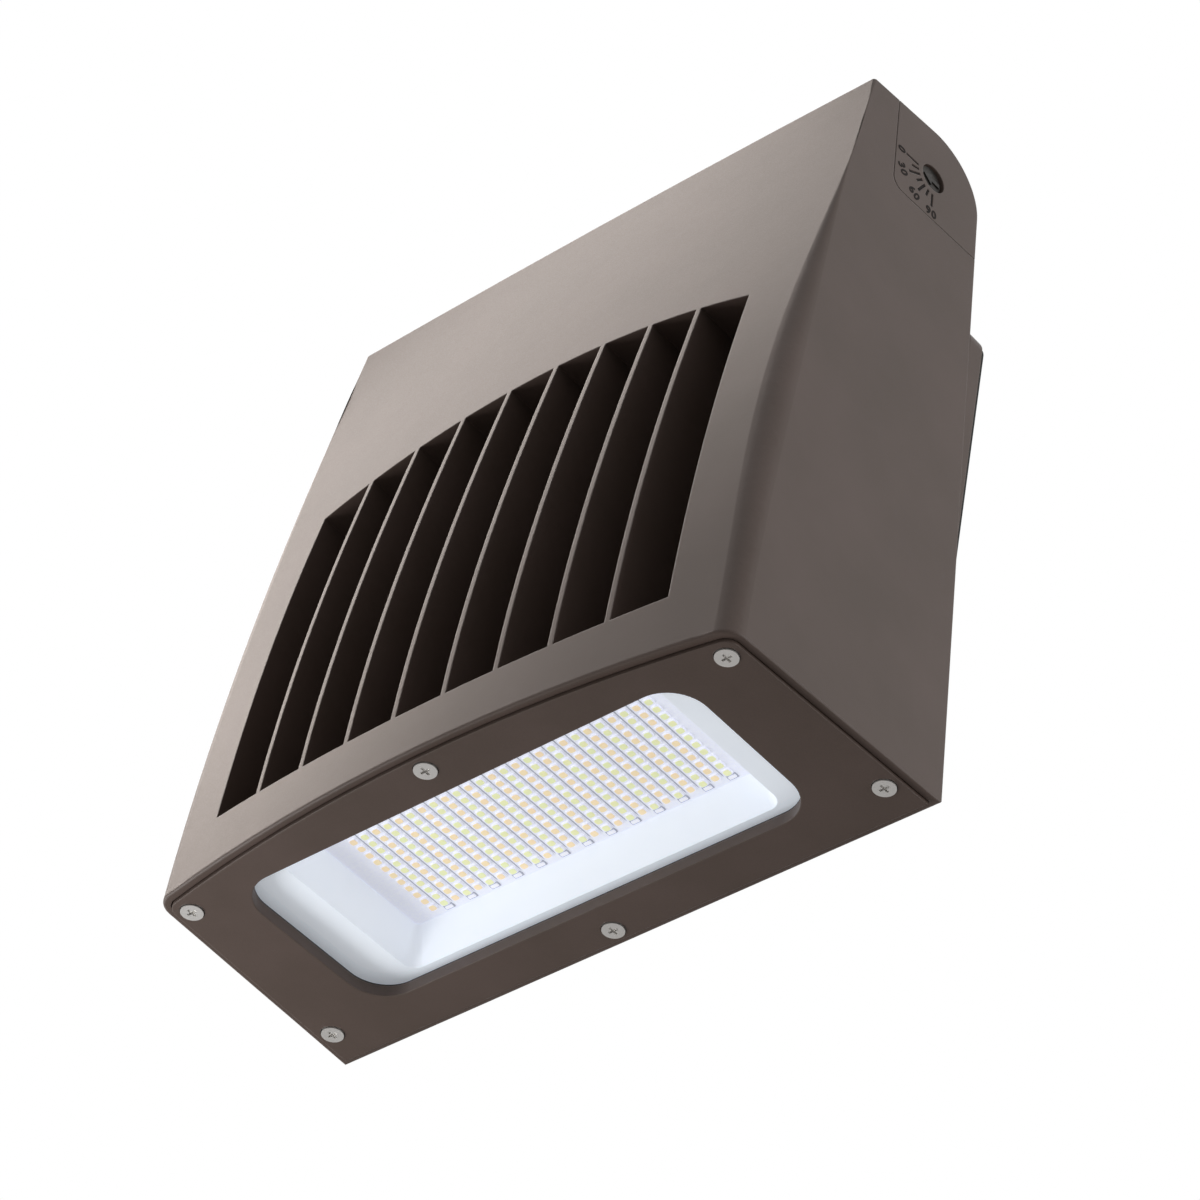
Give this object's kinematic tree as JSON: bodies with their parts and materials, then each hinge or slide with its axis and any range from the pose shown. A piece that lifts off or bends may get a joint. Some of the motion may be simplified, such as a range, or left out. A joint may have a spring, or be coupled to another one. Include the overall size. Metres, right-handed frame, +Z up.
{
  "type": "wall pack light",
  "caption": "Adjustable LED wall pack: bronze cast head with an arched fin grille and a framed flat lens below, tilting on a shallow wall box, with angle dials on both sides.",
  "frame": {"origin": "middle of the face that meets the wall, on the wall seal", "axes": "+Y into the wall, +Z up, the light stands out towards -Y with its lens looking down"},
  "size_m": [0.251, 0.1209, 0.298],
  "materials": {
    "bronze_coat": "fine textured powder coat, satin",
    "black_silicone": "matt",
    "clear_glass": "tempered, clear",
    "stainless": "brushed",
    "grey_pad": "matt",
    "board_white": "white solder mask",
    "chip_phosphor": "phosphor gel",
    "tinned_lug": "tinned",
    "reflector_white": "satin white",
    "driver_case": "potted case",
    "switch_black": "matt",
    "switch_knob": "matt",
    "green_steel": "green passivated",
    "zinc_steel": "zinc plated"
  },
  "bodies": {
    "wall_box": {"wall_box": "bronze_coat", "wall_seal": "black_silicone", "box_seal": "black_silicone", "box_cover": "bronze_coat", "box_cover_screws": "stainless", "box_grommet": "black_silicone", "earth_screws": "green_steel", "pivot_bolts": "zinc_steel", "pivot_nuts": "zinc_steel", "toothed_washers": "zinc_steel"},
    "head": {"housing": "bronze_coat", "lens_frame": "bronze_coat", "frame_seal": "black_silicone", "glass_seal": "black_silicone", "lens_glass": "clear_glass", "frame_screws": "stainless", "heat_pad": "grey_pad", "led_board": "board_white", "led_columns": "chip_phosphor", "led_lugs": "tinned_lug", "reflector": "reflector_white", "driver": "driver_case", "driver_screws": "stainless", "bay_seal": "black_silicone", "bay_cover": "bronze_coat", "bay_cover_screws": "stainless", "selector_switch": "switch_black", "head_grommet": "black_silicone", "dial_cover_left": "bronze_coat", "dial_cover_right": "bronze_coat"},
    "selector": {"selector_knob": "switch_knob"}
  },
  "joints": [
    {"name": "head_tilt", "type": "hinge", "parent": "wall_box", "child": "head", "pos_m": [0, -0.0354, 0.1052], "axis": [-1, 0, 0], "range_deg": [0, 90]},
    {"name": "selector_slide", "type": "slide", "parent": "head", "child": "selector", "axis": [1, 0, 0], "range_m": [-0.003, 0.003]}
  ]
}
